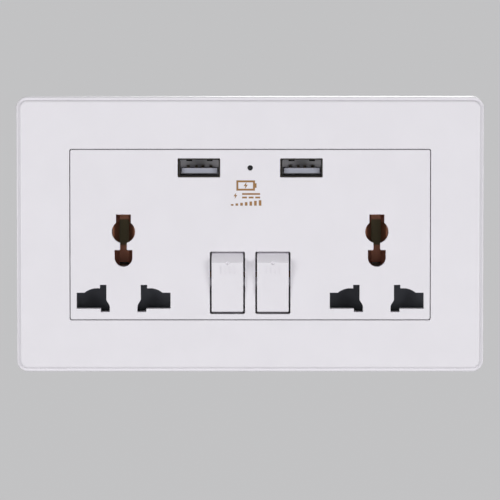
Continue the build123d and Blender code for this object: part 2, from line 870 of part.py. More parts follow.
# Outlets: shutters, springs, contacts and holders
for name, middle in outlets.items():
    toward = -1 if middle > 0 else 1
    with BuildPart() as shutter:
        for side in (-1, 1):
            near = min(side * shutter_inner, side * shutter_side)
            with BuildSketch(Plane.YZ.offset(middle + near)):
                with BuildLine():
                    Polyline(
                        (shutter_front, ramp_high + shutter_flange),
                        (shutter_front, ramp_high),
                        (ramp_back, ramp_low),
                        (bridge_back, ramp_low),
                        (bridge_back, ramp_low + shutter_step),
                        (shutter_front + shutter_plate, ramp_high + shutter_step),
                        (shutter_front + shutter_plate, ramp_high + shutter_flange),
                        close=True,
                    )
                make_face()
            extrude(amount=shutter_side - shutter_inner)
        slab(
            bridge_back,
            ramp_back - shutter_plate,
            (middle - shutter_inner, middle + shutter_inner, ramp_low, ramp_low + shutter_bridge),
        )
        slab(
            rail_back + shutter_play,
            ramp_back - 2 * shutter_plate,
            (
                middle - rail_width / 2 - rail_play,
                middle + rail_width / 2 + rail_play,
                ramp_low,
                ramp_low + shutter_bridge,
            ),
            mode=Mode.SUBTRACT,
        )
    save(shutter, f"shutter_{name}")

    spring_y = shutter_front + spring_radius + spring_gap
    return_spring = coil(
        (middle + toward * spring_offset, spring_y, spring_low),
        (0, 0, 1),
        spring_length,
        spring_radius,
        spring_wire,
        spring_turns,
    )
    save(return_spring, f"shutter_spring_{name}")

    # Live contact on the right of the outlet and neutral on the left, as a pair of sprung leaves
    for pole, side, contact_back in (
        ("live", 1, far_plane),
        ("neutral", -1, near_plane),
    ):
        leaf_near = min(side * (contact_inner + leaf_inset), side * contact_outer)
        bend_y = contact_front + contact_bend
        straight_y = contact_front + 2 * contact_bend
        spread = contact_pinch + contact_spread
        with BuildPart() as contact:
            for up in (-1, 1):
                with BuildSketch(Plane.YZ.offset(middle + leaf_near)):
                    with BuildLine():
                        Polyline(
                            (contact_front, pin_line + up * contact_mouth),
                            (bend_y, pin_line + up * contact_pinch),
                            (straight_y, pin_line + up * spread),
                            (contact_back - sheet, pin_line + up * spread),
                            (contact_back - sheet, pin_line + up * (spread + sheet)),
                            (straight_y, pin_line + up * (spread + sheet)),
                            (bend_y, pin_line + up * (contact_pinch + sheet)),
                            (contact_front, pin_line + up * (contact_mouth + sheet)),
                            close=True,
                        )
                    make_face()
                extrude(amount=contact_outer - contact_inner - leaf_inset)
            slab(
                contact_back,
                contact_back - sheet,
                (
                    middle + side * contact_inner,
                    middle + side * contact_outer,
                    pin_line - spread - sheet,
                    pin_line + spread + sheet,
                ),
            )
            slab(
                contact_back,
                contact_front + contact_stop,
                (
                    middle + side * contact_inner,
                    middle + side * (contact_inner + sheet),
                    pin_line - contact_pinch,
                    pin_line + contact_pinch,
                ),
            )
        save(contact, f"{pole}_contact_{name}")

    # Earth contact: two vertical leaves from one folded strip, slit between its two pin zones
    earth_bend_y = earth_front + earth_bend
    earth_straight_y = earth_front + 2 * earth_bend
    with BuildPart() as earth_contact:
        for side in (-1, 1):
            with BuildSketch(Plane.XY.offset(earth_low)):
                with BuildLine():
                    Polyline(
                        (middle + side * earth_mouth, earth_front),
                        (middle + side * earth_pinch, earth_bend_y),
                        (middle + side * (earth_mouth - sheet), earth_straight_y),
                        (middle + side * (earth_mouth - sheet), far_plane - sheet),
                        (middle + side * earth_mouth, far_plane - sheet),
                        (middle + side * earth_mouth, earth_straight_y - earth_bend_play),
                        (middle + side * (earth_pinch + sheet), earth_bend_y),
                        (middle + side * (earth_mouth + sheet), earth_front),
                        close=True,
                    )
                make_face()
            extrude(amount=earth_high - earth_low)
        slab(
            far_plane,
            far_plane - sheet,
            (middle - earth_mouth, middle + earth_mouth, earth_low, earth_high),
        )
        slab(
            earth_front + earth_slit_depth,
            earth_front - sheet,
            (
                middle - earth_mouth - 2 * sheet,
                middle + earth_mouth + 2 * sheet,
                earth_slit_low,
                earth_slit_high,
            ),
            mode=Mode.SUBTRACT,
        )
    save(earth_contact, f"earth_contact_{name}")

    # Insulating holder with a cell for each contact
    with BuildPart() as holder:
        slab(
            holder_back,
            holder_front,
            (middle - holder_side, middle + holder_side, -cavity_end, holder_top),
            (middle - holder_neck, middle + holder_neck, holder_top, earth_high + holder_crown),
        )
        slab(
            holder_back,
            holder_front,
            (
                middle - contact_outer - cell_end_play,
                middle - contact_inner + cell_play,
                -cavity_end + holder_wall,
                holder_top - holder_wall,
            ),
            (
                middle + contact_inner - cell_play,
                middle + contact_outer + cell_end_play,
                -cavity_end + holder_wall,
                holder_top - holder_wall,
            ),
            (
                middle - earth_mouth - sheet - cell_play,
                middle + earth_mouth + sheet + cell_play,
                earth_low - cell_play,
                earth_high + cell_play,
            ),
            mode=Mode.SUBTRACT,
        )
    save(holder, f"contact_holder_{name}")

# Rockers and their switches
rivet_face = (
    arm_pivot_y
    + (arm_rivet_height - arm_offset + arm_sheet) * cos(radians(arm_tilt))
    + (arm_rivet_place + arm_rivet_radius) * sin(radians(arm_tilt))
    + fixed_rivet_gap
)
for name, x in rockers.items():
    tilted = rocker_plane(x)
    arc = radians(rocker_end_angle)
    facet_end = (-rocker_end_radius * sin(arc), rocker_end_radius * cos(arc))
    back_end = sqrt(rocker_end_radius**2 - rocker_back**2)
    with BuildPart() as rocker:
        with BuildSketch(tilted.offset(-rocker_width / 2)):
            with BuildLine():
                ThreePointArc((rocker_back, back_end), (0, rocker_end_radius), facet_end)
                FilletPolyline(
                    facet_end,
                    (-rocker_face, rocker_ridge_top),
                    (-rocker_face, -rocker_ridge_bottom),
                    (facet_end[0], -facet_end[1]),
                    radius=rocker_ridge_round,
                )
                ThreePointArc(
                    (facet_end[0], -facet_end[1]), (0, -rocker_end_radius), (rocker_back, -back_end)
                )
                Line((rocker_back, -back_end), (rocker_back, back_end))
            make_face()
        extrude(amount=rocker_width)
        side_faces = rocker.faces().sort_by(Axis.X)
        front_edges = [
            edge
            for face in (side_faces[0], side_faces[-1])
            for edge in face.edges()
            if tilted.to_local_coords(edge @ 0.5).X < facet_end[0] / 2
        ]
        fillet(front_edges, radius=rocker_edge_round)
        with BuildSketch(tilted.offset(-rocker_width / 2 + rocker_wall)):
            with Locations(((rocker_back - rocker_face + rocker_wall) / 2, 0)):
                Rectangle(
                    rocker_back + rocker_face - rocker_wall,
                    2 * (rocker_ridge_top - rocker_wall / 2),
                )
        extrude(amount=rocker_width - 2 * rocker_wall, mode=Mode.SUBTRACT)
        across = Plane(origin=tilted.origin, x_dir=(1, 0, 0), z_dir=tilted.x_dir)
        with BuildSketch(across.offset(-rocker_face + rocker_wall / 2)):
            Circle(plunger_radius + plunger_play + tube_wall)
        extrude(amount=tube_end + rocker_face - rocker_wall / 2)
        with BuildSketch(across.offset(-plunger_start)):
            Circle(plunger_radius + plunger_play)
        extrude(amount=tube_end + plunger_start, mode=Mode.SUBTRACT)
        for side in (-1, 1):
            with BuildSketch(tilted.offset(side * (rocker_width / 2 - rocker_wall / 2))):
                Circle(trunnion_radius)
            reach = inner_wall if side * x < 0 else bearing_wall
            gap = (rocker_cutout_width - rocker_width) / 2
            extrude(amount=side * (rocker_wall / 2 + gap + reach - trunnion_end_play))
        face_plane = Plane(origin=tilted.origin, x_dir=(1, 0, 0), z_dir=-tilted.x_dir)
        with BuildSketch(face_plane.offset(rocker_face - grip_cut)):
            with Locations((0, rocker_ridge_top - grip_start - grip_length / 2)):
                with GridLocations(grip_pitch, 1, grip_count, 1):
                    Rectangle(grip_width, grip_length)
        extrude(amount=rocker_wall, mode=Mode.SUBTRACT)
        with Locations(face_plane.from_local_coords(Vector(0, rocker_ridge_top, rocker_face))):
            Sphere(marker_radius, mode=Mode.SUBTRACT)
    save(rocker, f"rocker_{name}")

    with BuildPart() as plunger:
        with BuildSketch(tilted):
            with BuildLine():
                Polyline(
                    (plunger_tip - plunger_radius, plunger_radius),
                    (plunger_start, plunger_radius),
                    (plunger_start, 0),
                    (plunger_tip, 0),
                )
                RadiusArc(
                    (plunger_tip - plunger_radius, plunger_radius),
                    (plunger_tip, 0),
                    plunger_radius,
                )
            make_face()
        revolve(axis=Axis(tilted.origin, tilted.x_dir))
    save(plunger, f"plunger_{name}")

    spring = coil(
        tuple(tilted.from_local_coords(Vector(-plunger_start, 0, 0))),
        tuple(tilted.x_dir),
        2 * plunger_start,
        plunger_radius - plunger_spring_wire,
        plunger_spring_wire,
        plunger_spring_turns,
    )
    save(spring, f"plunger_spring_{name}")

    arm_plane = rocker_plane(x, tilt=-arm_tilt, y=arm_pivot_y)
    with BuildPart() as contact_arm:
        with BuildSketch(arm_plane.offset(-arm_width / 2)):
            with Locations((-arm_offset + arm_sheet / 2, (arm_up - arm_down) / 2)):
                Rectangle(arm_sheet, arm_up + arm_down)
            Circle(arm_bead)
        extrude(amount=arm_width)
        rivet_plane = Plane(origin=arm_plane.origin, x_dir=(1, 0, 0), z_dir=arm_plane.x_dir)
        with BuildSketch(rivet_plane.offset(-arm_offset + arm_sheet / 2)):
            with Locations((0, -arm_rivet_place)):
                Circle(arm_rivet_radius)
        extrude(amount=arm_sheet / 2 + arm_rivet_height)
    save(contact_arm, f"contact_arm_{name}")

    # Switched strip from the fixed contact to the outlet's live contact
    live_x = outlets[name] + (contact_inner + contact_outer) / 2
    arm_near, arm_far = x - arm_width / 2, x + arm_width / 2
    strip_low = rocker_middle - supply_below
    strip_top = rocker_middle + strip_rise
    pad_left, pad_right = live_x - bar_pad / 2, live_x + bar_pad / 2
    tab_face = rivet_face + fixed_rivet_height
    with BuildPart() as switched_strip:
        slab(
            far_plane + bar,
            far_plane,
            (arm_near, arm_far, strip_low, strip_top),
            (min(pad_left, arm_near), max(pad_right, arm_far), strip_low, strip_low + bar_width),
            (pad_left, pad_right, pin_line - bar_pad_drop, strip_low + bar_width),
        )
        slab(far_plane + bar, tab_face, (arm_near, arm_far, strip_top - bar, strip_top))
        slab(tab_face + bar, tab_face, (arm_near, arm_far, strip_top - strip_tab, strip_top))
        with BuildSketch(at_depth(tab_face + bar / 2)):
            with Locations((x, rocker_middle + arm_rivet_place)):
                Circle(arm_rivet_radius)
        extrude(amount=fixed_rivet_height + bar / 2)
    save(switched_strip, f"switched_strip_{name}")

# Live supply bar with a grooved fulcrum post under each contact arm
tab_end = terminal_front + bar_tab
link_low = board_low + board_link_low
link_high = link_low + board_link
live_link = -board_width / 2 + board_link_inset
supply_low = rocker_middle - supply_below
riser_left = terminal_places["live"] + riser_offset - bar_width / 2
riser_right = riser_left + bar_width
live_tab_left = terminal_places["live"]
with BuildPart() as live_supply_bar:
    slab(
        supply_plane + bar,
        supply_plane,
        (riser_left, rockers["right"] + arm_width / 2, supply_low, supply_low + bar_width),
        (riser_left, riser_right, supply_low, terminal_low),
        (riser_left, live_link + bar, link_low, link_high),
    )
    slab(tab_end, supply_plane, (live_tab_left, riser_right, terminal_low - bar, terminal_low))
    slab(supply_plane, board_back, (live_link, live_link + bar, link_low, link_high))
    for x in rockers.values():
        slab(
            supply_plane,
            arm_pivot_y,
            (
                x - arm_width / 2,
                x + arm_width / 2,
                rocker_middle - post_thickness / 2,
                rocker_middle + post_thickness / 2,
            ),
        )
        with BuildSketch(Plane.YZ.offset(x - arm_width / 2)):
            with Locations((arm_pivot_y, rocker_middle)):
                Circle(arm_bead + post_play)
        extrude(amount=arm_width, mode=Mode.SUBTRACT)
save(live_supply_bar, "live_supply_bar")

# Neutral bar: joins both neutral contacts, the terminal and the charger board
neutral_left = outlets["left"] - (contact_inner + contact_outer) / 2
neutral_right = outlets["right"] - (contact_inner + contact_outer) / 2
neutral_low = pin_line + neutral_rise
neutral_high = neutral_low + bar_width
neutral_riser = neutral_left + riser_inset
neutral_link = board_width / 2 - board_link_inset
with BuildPart() as neutral_bar:
    slab(
        near_plane + bar,
        near_plane,
        (neutral_left - bar_pad / 2, neutral_right + bar_pad / 2, neutral_low, neutral_high),
        (neutral_riser, neutral_riser + bar_width, neutral_low, terminal_low),
        (neutral_right - bar_width / 2, neutral_right + bar_width / 2, neutral_low, link_high),
        (neutral_link - bar, neutral_right + bar_width / 2, link_low, link_high),
        *[
            (x - bar_pad / 2, x + bar_pad / 2, pin_line - bar_pad_drop, neutral_high)
            for x in (neutral_left, neutral_right)
        ],
    )
    slab(
        tab_end,
        near_plane,
        (neutral_riser, terminal_places["neutral"] + bar_width, terminal_low - bar, terminal_low),
    )
    slab(near_plane, board_back, (neutral_link - bar, neutral_link, link_low, link_high))
save(neutral_bar, "neutral_bar")

# Earth bar: joins both earth contacts and the terminal
earth_half = bar_width / 2
earth_left = terminal_places["earth"] - earth_half
earth_right = terminal_places["earth"] + earth_half
with BuildPart() as earth_bar:
    slab(
        far_plane + bar,
        far_plane,
        (outlets["left"] - bar_pad / 2, outlets["right"] + bar_pad / 2, -earth_half, earth_half),
        (earth_left, earth_right, -earth_half, terminal_low),
    )
    slab(tab_end, far_plane, (earth_left, earth_right, terminal_low - bar, terminal_low))
save(earth_bar, "earth_bar")

# Brass terminals and their clamp screws
screw_y = housing_back - wire_hole_length / 2
clamp_tip = terminal_middle + wire_hole_radius + clamp_screw_lift
head_low = terminal_high + clamp_head_lift
for pole, x in terminal_places.items():
    with BuildPart() as terminal:
        slab(
            housing_back,
            terminal_front,
            (x - terminal_width / 2, x + terminal_width / 2, terminal_low, terminal_high),
        )
        with BuildSketch(at_depth(housing_back)):
            with Locations((x, terminal_middle)):
                Circle(wire_hole_radius)
        extrude(amount=wire_hole_length, mode=Mode.SUBTRACT)
        with BuildSketch(Plane.XY.offset(terminal_middle)):
            with Locations((x, screw_y)):
                Circle(clamp_screw_radius + screw_play)
        extrude(amount=terminal_height, mode=Mode.SUBTRACT)
    save(terminal, f"{pole}_terminal")

    with BuildPart() as clamp_screw:
        with BuildSketch(Plane.XY.offset(clamp_tip)):
            with Locations((x, screw_y)):
                Circle(clamp_screw_radius)
        extrude(amount=head_low - clamp_tip)
        with BuildSketch(Plane.XY.offset(head_low)):
            with Locations((x, screw_y)):
                Circle(clamp_head_radius)
        extrude(amount=clamp_head_height)
        with BuildSketch(Plane.XY.offset(head_low + clamp_head_height)):
            with Locations((x, screw_y)):
                Rectangle(2 * clamp_head_radius + clamp_slot_width, clamp_slot_width)
        extrude(amount=-clamp_slot_depth, mode=Mode.SUBTRACT)
    save(clamp_screw, f"{pole}_clamp_screw")

# Charging ports: shell, insulator with tongue, and four contact pins each
shell_front = front + usb_shell_recess
shell_outer_top = usb_height + usb_shell_height / 2
shell_inner_top = shell_outer_top - usb_shell_sheet
tongue_middle = usb_height - usb_tongue_drop
tongue_top = tongue_middle + usb_tongue_thickness / 2
tongue_front = shell_front + usb_tongue_recess
insulator_front = board_front - usb_insulator_depth
pin_front = tongue_front + usb_pin_setback
for name, middle in ports.items():
    x = middle + usb_shell_shift
    with BuildPart() as usb_shell:
        with BuildSketch(at_depth(board_front)):
            with Locations((x, usb_height)):
                RectangleRounded(usb_shell_width, usb_shell_height, usb_shell_corner)
        extrude(amount=board_front - shell_front)
        with BuildSketch(at_depth(board_front)):
            with Locations((x, usb_height)):
                RectangleRounded(
                    usb_shell_width - 2 * usb_shell_sheet,
                    usb_shell_height - 2 * usb_shell_sheet,
                    usb_shell_corner - usb_shell_sheet,
                )
        extrude(amount=board_front - shell_front, mode=Mode.SUBTRACT)
        spring_start = shell_front + usb_spring_start
        spring_back = spring_start + usb_spring_length
        spring_lead = spring_start + usb_spring_lead
        spring_bend = spring_start + usb_spring_bend
        for place in usb_spring_places:
            slab(
                spring_back,
                spring_start,
                (
                    x + place - usb_spring_slot / 2,
                    x + place + usb_spring_slot / 2,
                    shell_inner_top - usb_shell_sheet,
                    shell_inner_top + 2 * usb_shell_sheet,
                ),
                mode=Mode.SUBTRACT,
            )
            with BuildSketch(Plane.YZ.offset(x + place - usb_spring_width / 2)):
                with BuildLine():
                    Polyline(
                        (spring_back + usb_shell_sheet, shell_inner_top),
                        (spring_back, shell_inner_top),
                        (spring_bend, shell_inner_top - usb_spring_dip),
                        (spring_lead, shell_inner_top),
                        (spring_lead, shell_outer_top),
                        (spring_bend, shell_outer_top - usb_spring_dip),
                        (spring_back, shell_outer_top),
                        (spring_back + usb_shell_sheet, shell_outer_top),
                        close=True,
                    )
                make_face()
            extrude(amount=usb_spring_width)
    save(usb_shell, f"usb_shell_{name}")

    inner_half = usb_shell_width / 2 - usb_shell_sheet
    inner_rise = usb_shell_height / 2 - usb_shell_sheet
    with BuildPart() as usb_insulator:
        slab(
            board_front,
            insulator_front,
            (x - inner_half, x + inner_half, usb_height - inner_rise, usb_height + inner_rise),
        )
        chamfer(usb_insulator.edges().filter_by(Axis.Y), length=usb_corner_chamfer)
        slab(
            board_front,
            tongue_front,
            (
                x - usb_tongue_width / 2,
                x + usb_tongue_width / 2,
                tongue_middle - usb_tongue_thickness / 2,
                tongue_top,
            ),
        )
        slab(
            insulator_front + usb_pocket_depth,
            insulator_front,
            *[
                (
                    x + place - usb_pocket_width / 2,
                    x + place + usb_pocket_width / 2,
                    tongue_top,
                    tongue_top + usb_pocket_height,
                )
                for place in usb_pin_places
            ],
            mode=Mode.SUBTRACT,
        )
        slab(
            board_front,
            pin_front,
            *[
                (
                    x + place - usb_pin_width / 2,
                    x + place + usb_pin_width / 2,
                    tongue_top - usb_pin_sheet,
                    tongue_top + usb_pin_sheet,
                )
                for place in usb_pin_places
            ],
            mode=Mode.SUBTRACT,
        )
    save(usb_insulator, f"usb_insulator_{name}")

    with BuildPart() as usb_pins:
        slab(
            board_front,
            pin_front,
            *[
                (
                    x + place - usb_pin_width / 2,
                    x + place + usb_pin_width / 2,
                    tongue_top - usb_pin_sheet,
                    tongue_top + usb_pin_proud,
                )
                for place in usb_pin_places
            ],
        )
    save(usb_pins, f"usb_pins_{name}")

# Charger board and what stands on it
with BuildPart() as charger_board:
    slab(
        board_back,
        board_front,
        (-board_width / 2, board_width / 2, board_low, board_high),
    )
save(charger_board, "charger_board")

with BuildPart() as indicator_led:
    slab(
        board_front,
        board_front - led_thickness,
        (-led_size / 2, led_size / 2, usb_height - led_size / 2, usb_height + led_size / 2),
    )
save(indicator_led, "indicator_led")

pipe_back = board_front - led_thickness
with BuildPart() as light_pipe:
    with BuildSketch(at_depth(pipe_back)):
        with Locations((0, usb_height)):
            Circle(led_hole_radius - light_pipe_play)
    extrude(amount=pipe_back - front - light_pipe_recess)
    with BuildSketch(at_depth(panel_back + light_pipe_flange_depth)):
        with Locations((0, usb_height)):
            Circle(light_pipe_flange)
    extrude(amount=light_pipe_flange_depth)
save(light_pipe, "light_pipe")

core_middle = board_middle + core_lift
with BuildPart() as transformer_core:
    with BuildSketch(at_depth(board_back + core_depth)):
        with Locations((0, core_middle)):
            Rectangle(core_width, core_height)
        with Locations((0, core_middle - core_height / 2), (0, core_middle + core_height / 2)):
            Rectangle(core_notch_width, 2 * core_notch_depth, mode=Mode.SUBTRACT)
    extrude(amount=core_depth)
    with BuildSketch(at_depth(board_back + winding_depth)):
        with Locations((0, core_middle)):
            Rectangle(2 * core_width, winding_height)
    extrude(amount=winding_depth, mode=Mode.SUBTRACT)
save(transformer_core, "transformer_core")

with BuildPart() as transformer_winding:
    with BuildSketch(at_depth(board_back + winding_depth)):
        with Locations((0, core_middle)):
            RectangleRounded(winding_width, winding_height, winding_corner)
    extrude(amount=winding_depth)
save(transformer_winding, "transformer_winding")

for name, (x, z, radius, length) in capacitors.items():
    with BuildPart() as capacitor:
        with BuildSketch(at_depth(board_back + length)):
            with Locations((x, board_middle + z)):
                Circle(radius)
        extrude(amount=length)
        chamfer(capacitor.edges().filter_by(GeomType.CIRCLE), length=capacitor_chamfer)
    save(capacitor, name)

for name, (x, z, width, height, depth) in chips.items():
    with BuildPart() as chip:
        with BuildSketch(at_depth(board_back + depth)):
            with Locations((x, board_middle + z)):
                Rectangle(width, height)
        extrude(amount=depth)
        chamfer(chip.faces().sort_by(Axis.Y)[-1].edges(), length=chip_chamfer)
    save(chip, name)
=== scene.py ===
"""The looks of the USB wall socket: materials, printed marks, springs, camera and light.

All lengths are in metres, in the same frame as the CAD: X right, Y into the wall, Z up, with the
wall surface at Y = 0 and the origin in the middle of the plate.
"""

import json
import math

import bmesh
import bpy
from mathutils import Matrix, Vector


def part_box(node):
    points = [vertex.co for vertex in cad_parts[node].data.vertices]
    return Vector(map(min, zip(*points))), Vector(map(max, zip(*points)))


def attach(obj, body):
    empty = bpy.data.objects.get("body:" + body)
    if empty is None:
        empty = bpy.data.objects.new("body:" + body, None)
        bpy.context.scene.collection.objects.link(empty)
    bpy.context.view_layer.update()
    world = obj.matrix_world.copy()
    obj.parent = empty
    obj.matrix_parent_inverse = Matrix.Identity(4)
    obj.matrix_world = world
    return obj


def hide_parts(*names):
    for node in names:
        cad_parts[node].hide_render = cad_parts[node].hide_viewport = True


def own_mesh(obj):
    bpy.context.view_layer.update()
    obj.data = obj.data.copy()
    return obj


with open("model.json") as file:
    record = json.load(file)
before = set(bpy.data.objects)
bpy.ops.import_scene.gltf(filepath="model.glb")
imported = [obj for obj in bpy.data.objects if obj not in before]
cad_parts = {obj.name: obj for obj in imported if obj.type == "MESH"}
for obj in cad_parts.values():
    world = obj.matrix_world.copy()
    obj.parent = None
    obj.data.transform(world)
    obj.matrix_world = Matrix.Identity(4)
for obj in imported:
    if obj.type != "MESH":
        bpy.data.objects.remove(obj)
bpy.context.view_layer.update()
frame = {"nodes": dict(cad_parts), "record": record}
bpy.context.scene.view_settings.view_transform = "Standard"

MM = 0.001

# The photo: its scale on the plate's front and where the plate's middle lies in the picture
IMAGE_SIZE = 500
PIXELS_PER_MM = 3.2
PLATE_MIDDLE_PIXEL = (250.15, 234.7)

CAMERA_DISTANCE = 1.5
CAMERA_ELEVATION = 4.0
SENSOR = 36.0

WHITE = (0.78, 0.76, 0.805)


# Materials


def new_material(name):
    """A node material with its shader, and the object's own coordinates to lay patterns by."""
    material = bpy.data.materials.new(name)
    material.use_nodes = True
    nodes = material.node_tree.nodes
    shader = nodes["Principled BSDF"]
    coords = nodes.new("ShaderNodeTexCoord")
    return material, nodes, material.node_tree.links, shader, coords.outputs["Object"]


def noise(nodes, links, coords, size, detail=3.0, stretch=(1.0, 1.0, 1.0)):
    """Noise whose blotches are about `size` metres across, drawn out along an axis by `stretch`."""
    mapping = nodes.new("ShaderNodeMapping")
    mapping.inputs["Scale"].default_value = [1.0 / (size * s) for s in stretch]
    links.new(coords, mapping.inputs["Vector"])
    texture = nodes.new("ShaderNodeTexNoise")
    texture.inputs["Scale"].default_value = 1.0
    texture.inputs["Detail"].default_value = detail
    links.new(mapping.outputs["Vector"], texture.inputs["Vector"])
    return texture.outputs["Fac"]


def spread(nodes, links, value, low, high, start=0.3, end=0.7):
    """A noise value brought to the range from low to high."""
    ranged = nodes.new("ShaderNodeMapRange")
    ranged.inputs["From Min"].default_value = start
    ranged.inputs["From Max"].default_value = end
    ranged.inputs["To Min"].default_value = low
    ranged.inputs["To Max"].default_value = high
    links.new(value, ranged.inputs["Value"])
    return ranged.outputs["Result"]


def blend_colours(nodes, links, value, first, second, start=0.35, end=0.65):
    """Two colours mixed by a noise value."""
    ramp = nodes.new("ShaderNodeValToRGB")
    ramp.color_ramp.elements[0].position = start
    ramp.color_ramp.elements[1].position = end
    ramp.color_ramp.elements[0].color = (*first, 1.0)
    ramp.color_ramp.elements[1].color = (*second, 1.0)
    links.new(value, ramp.inputs["Fac"])
    return ramp.outputs["Color"]


def bump(nodes, links, shader, height, depth, strength=1.0):
    """Relief of `depth` metres on the shader's normal."""
    relief = nodes.new("ShaderNodeBump")
    relief.inputs["Distance"].default_value = depth
    relief.inputs["Strength"].default_value = strength
    links.new(height, relief.inputs["Height"])
    links.new(relief.outputs["Normal"], shader.inputs["Normal"])


def shade(colour, factor):
    return tuple(channel * factor for channel in colour)


def moulded_plastic(name, colour, roughness, grain=0.25 * MM, depth=0.004 * MM, mottle=0.02):
    """Moulded plastic: faint colour clouds, a fine spark-eroded grain and uneven sheen."""
    material, nodes, links, shader, coords = new_material(name)
    clouds = noise(nodes, links, coords, 14 * MM)
    colours = blend_colours(
        nodes, links, clouds, shade(colour, 1 - mottle), shade(colour, 1 + mottle)
    )
    links.new(colours, shader.inputs["Base Color"])
    handling = noise(nodes, links, coords, 5 * MM, detail=5.0)
    links.new(
        spread(nodes, links, handling, roughness - 0.05, roughness + 0.05),
        shader.inputs["Roughness"],
    )
    shader.inputs["IOR"].default_value = 1.5
    bump(nodes, links, shader, noise(nodes, links, coords, grain, detail=2.0), depth)
    return material


def rolled_metal(name, colour, tarnish, roughness, along="Z", patina=6 * MM):
    """Rolled or drawn sheet: fine lines along the rolling direction and slight tarnish."""
    material, nodes, links, shader, coords = new_material(name)
    stretch = {"X": (60, 1, 1), "Y": (1, 60, 1), "Z": (1, 1, 60)}[along]
    lines = noise(nodes, links, coords, 0.12 * MM, detail=2.0, stretch=stretch)
    patches = noise(nodes, links, coords, patina, detail=6.0)
    links.new(blend_colours(nodes, links, patches, colour, tarnish), shader.inputs["Base Color"])
    links.new(
        spread(nodes, links, lines, roughness - 0.07, roughness + 0.1), shader.inputs["Roughness"]
    )
    shader.inputs["Metallic"].default_value = 1.0
    bump(nodes, links, shader, lines, 0.002 * MM)
    return material


def plated_metal(name, colour, dull, roughness):
    """Zinc or nickel plating: soft clouded patches over a slightly rough base."""
    material, nodes, links, shader, coords = new_material(name)
    patches = nodes.new("ShaderNodeTexVoronoi")
    patches.inputs["Scale"].default_value = 1 / (1.6 * MM)
    links.new(coords, patches.inputs["Vector"])
    links.new(
        blend_colours(nodes, links, patches.outputs["Distance"], colour, dull, 0.1, 0.9),
        shader.inputs["Base Color"],
    )
    fine = noise(nodes, links, coords, 0.3 * MM, detail=4.0)
    links.new(
        spread(nodes, links, fine, roughness - 0.06, roughness + 0.08), shader.inputs["Roughness"]
    )
    shader.inputs["Metallic"].default_value = 1.0
    bump(nodes, links, shader, fine, 0.003 * MM)
    return material


# How far the colour of a surface with painted depth shading strays from an even change
PATCHINESS = 0.3


def painted_depth_shading(name, outer, inner, start, end, metallic, roughness):
    """A surface whose colour goes from `outer` to `inner` along Y, from one depth to another, as
    painted shading by depth into a recess.
    """
    material, nodes, links, shader, coords = new_material(name)
    split = nodes.new("ShaderNodeSeparateXYZ")
    links.new(coords, split.inputs["Vector"])
    depth = spread(nodes, links, split.outputs["Y"], 0.0, 1.0, start, end)
    patches = noise(nodes, links, coords, 1.5 * MM, detail=5.0)
    uneven = nodes.new("ShaderNodeMath")
    uneven.operation = "MULTIPLY_ADD"
    uneven.inputs[1].default_value = PATCHINESS
    uneven.inputs[2].default_value = -PATCHINESS / 2
    links.new(patches, uneven.inputs[0])
    total = nodes.new("ShaderNodeMath")
    total.operation = "ADD"
    links.new(depth, total.inputs[0])
    links.new(uneven.outputs["Value"], total.inputs[1])
    links.new(
        blend_colours(nodes, links, total.outputs["Value"], outer, inner, 0.0, 1.0),
        shader.inputs["Base Color"],
    )
    fine = noise(nodes, links, coords, 0.2 * MM)
    links.new(
        spread(nodes, links, fine, roughness - 0.06, roughness + 0.06), shader.inputs["Roughness"]
    )
    shader.inputs["Metallic"].default_value = metallic
    shader.inputs["Specular IOR Level"].default_value = 0.1
    bump(nodes, links, shader, fine, 0.003 * MM)
    return material


def tinted_ends(material, colour, low, high, soft=0.3 * MM):
    """Lays a colour over the material above and below a band of heights."""
    nodes, links = material.node_tree.nodes, material.node_tree.links
    shader = nodes["Principled BSDF"]
    own = shader.inputs["Base Color"].links[0].from_socket
    coords = nodes.new("ShaderNodeTexCoord")
    split = nodes.new("ShaderNodeSeparateXYZ")
    links.new(coords.outputs["Object"], split.inputs["Vector"])
    height = split.outputs["Z"]
    above = spread(nodes, links, height, 0.0, 1.0, high - soft, high + soft)
    below = spread(nodes, links, height, 1.0, 0.0, low - soft, low + soft)
    either = nodes.new("ShaderNodeMath")
    either.operation = "MAXIMUM"
    links.new(above, either.inputs[0])
    links.new(below, either.inputs[1])
    laid = nodes.new("ShaderNodeMixRGB")
    laid.inputs["Color2"].default_value = (*colour, 1.0)
    links.new(either.outputs["Value"], laid.inputs["Fac"])
    links.new(own, laid.inputs["Color1"])
    links.new(laid.outputs["Color"], shader.inputs["Base Color"])


def circuit_board(name):
    """Tan paper laminate with faint copper runs under it."""
    material, nodes, links, shader, coords = new_material(name)
    runs = nodes.new("ShaderNodeTexBrick")
    runs.inputs["Scale"].default_value = 1 / (6 * MM)
    runs.inputs["Mortar Size"].default_value = 0.03
    runs.inputs["Color1"].default_value = (0.5, 0.38, 0.22, 1)
    runs.inputs["Color2"].default_value = (0.46, 0.34, 0.19, 1)
    runs.inputs["Mortar"].default_value = (0.4, 0.27, 0.13, 1)
    turned = nodes.new("ShaderNodeMapping")
    turned.inputs["Rotation"].default_value = (math.radians(90), 0, 0)
    links.new(coords, turned.inputs["Vector"])
    links.new(turned.outputs["Vector"], runs.inputs["Vector"])
    links.new(runs.outputs["Color"], shader.inputs["Base Color"])
    shader.inputs["Roughness"].default_value = 0.35
    weave = noise(nodes, links, coords, 0.5 * MM, detail=1.0)
    bump(nodes, links, shader, weave, 0.006 * MM)
    return material


